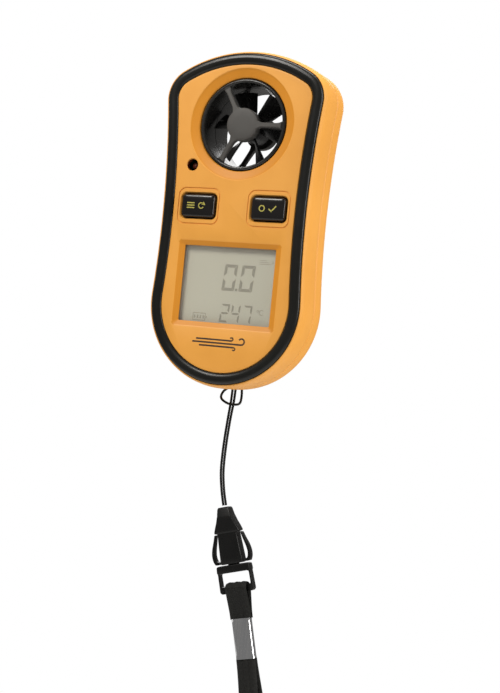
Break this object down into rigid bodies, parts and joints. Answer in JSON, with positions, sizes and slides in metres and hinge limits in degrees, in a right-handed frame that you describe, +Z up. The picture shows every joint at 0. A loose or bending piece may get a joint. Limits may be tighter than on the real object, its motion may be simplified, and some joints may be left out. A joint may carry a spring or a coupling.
{
  "type": "handheld weather meter",
  "caption": "Pocket vane anemometer: waisted orange casing with black band, fan duct, keys, display, coin-cell door and a wrist lanyard with quick-release buckle.",
  "frame": {"origin": "the casing's centre, halfway up, across and through it", "axes": "+Z up along the casing, -Y the face with the display, +X to the right of someone looking at the face"},
  "size_m": [0.0641, 0.0436, 0.3393],
  "materials": {
    "orange_plastic": "fine matte moulded",
    "black_plastic": "semi-gloss",
    "grey_plastic": "matte",
    "black_rubber": "satin",
    "steel": "satin",
    "polished_metal": "polished",
    "brass": "satin",
    "clear_plastic": "clear",
    "display_glass": "satin",
    "circuit_board": "solder mask",
    "chip_resin": "matte",
    "silicone": "matte",
    "sensor_epoxy": "gloss",
    "black_cord": "twisted",
    "black_webbing": "woven"
  },
  "bodies": {
    "casing": {"front_cover": "orange_plastic", "rear_cover": "orange_plastic", "rim_band": "black_rubber", "fan_housing_front": "grey_plastic", "fan_housing_rear": "grey_plastic", "bearing_front": "brass", "bearing_rear": "brass", "hall_sensor": "chip_resin", "switch_mode": "steel", "switch_set": "steel", "lcd_window": "clear_plastic", "lcd_panel": "display_glass", "lcd_frame": "black_plastic", "lcd_connector_upper": "silicone", "lcd_connector_lower": "silicone", "main_board": "circuit_board", "microcontroller": "chip_resin", "crystal": "steel", "capacitor_1": "steel", "capacitor_2": "steel", "thermistor": "sensor_epoxy", "battery_holder": "black_plastic", "coin_cell": "steel", "contact_negative": "steel", "contact_positive": "steel", "case_screw_1": "steel", "case_screw_2": "steel", "case_screw_3": "steel", "case_screw_4": "steel", "board_screw_1": "steel", "board_screw_2": "steel", "lanyard_cord": "black_cord", "buckle_socket": "black_plastic", "buckle_plug": "black_plastic", "strap_tab": "black_webbing", "strap_clamp": "polished_metal", "wrist_strap": "black_webbing"},
    "impeller": {"impeller": "black_plastic", "impeller_axle": "steel", "impeller_magnet": "grey_plastic"},
    "key_mode": {"key_mode": "black_plastic"},
    "key_set": {"key_set": "black_plastic"},
    "plunger_mode": {"plunger_mode": "chip_resin"},
    "plunger_set": {"plunger_set": "chip_resin"},
    "battery_door": {"battery_door": "orange_plastic", "door_seal": "black_rubber"},
    "buckle_arm_left": {"buckle_arm_left": "black_plastic"},
    "buckle_arm_right": {"buckle_arm_right": "black_plastic"}
  },
  "joints": [
    {"name": "impeller_spin", "type": "hinge", "parent": "casing", "child": "impeller", "pos_m": [0, 0, 0.0292], "axis": [0, 1, 0], "continuous": true},
    {"name": "key_mode_press", "type": "slide", "parent": "casing", "child": "key_mode", "axis": [0, 1, 0], "range_m": [0, 0.0005], "stiffness_N_per_m": 400},
    {"name": "key_set_press", "type": "slide", "parent": "casing", "child": "key_set", "axis": [0, 1, 0], "range_m": [0, 0.0005], "stiffness_N_per_m": 400},
    {"name": "plunger_mode_press", "type": "slide", "parent": "casing", "child": "plunger_mode", "axis": [0, 1, 0], "range_m": [0, 0.00025]},
    {"name": "plunger_set_press", "type": "slide", "parent": "casing", "child": "plunger_set", "axis": [0, 1, 0], "range_m": [0, 0.00025]},
    {"name": "battery_door_turn", "type": "hinge", "parent": "casing", "child": "battery_door", "pos_m": [0, 0.0087, -0.022], "axis": [0, 1, 0], "range_deg": [0, 45]},
    {"name": "buckle_arm_left_squeeze", "type": "hinge", "parent": "casing", "child": "buckle_arm_left", "pos_m": [0, 0.0063, -0.10787], "axis": [0, 1, 0], "range_deg": [0, 6], "stiffness_Nm_per_rad": 0.5},
    {"name": "buckle_arm_right_squeeze", "type": "hinge", "parent": "casing", "child": "buckle_arm_right", "pos_m": [0.00997, 0.0063, -0.10491], "axis": [0, -1, 0], "range_deg": [0, 6], "stiffness_Nm_per_rad": 0.5}
  ],
  "couplings": [
    {"joint": "plunger_mode_press", "follows": "key_mode_press", "ratio": 0.5},
    {"joint": "plunger_set_press", "follows": "key_set_press", "ratio": 0.5}
  ]
}
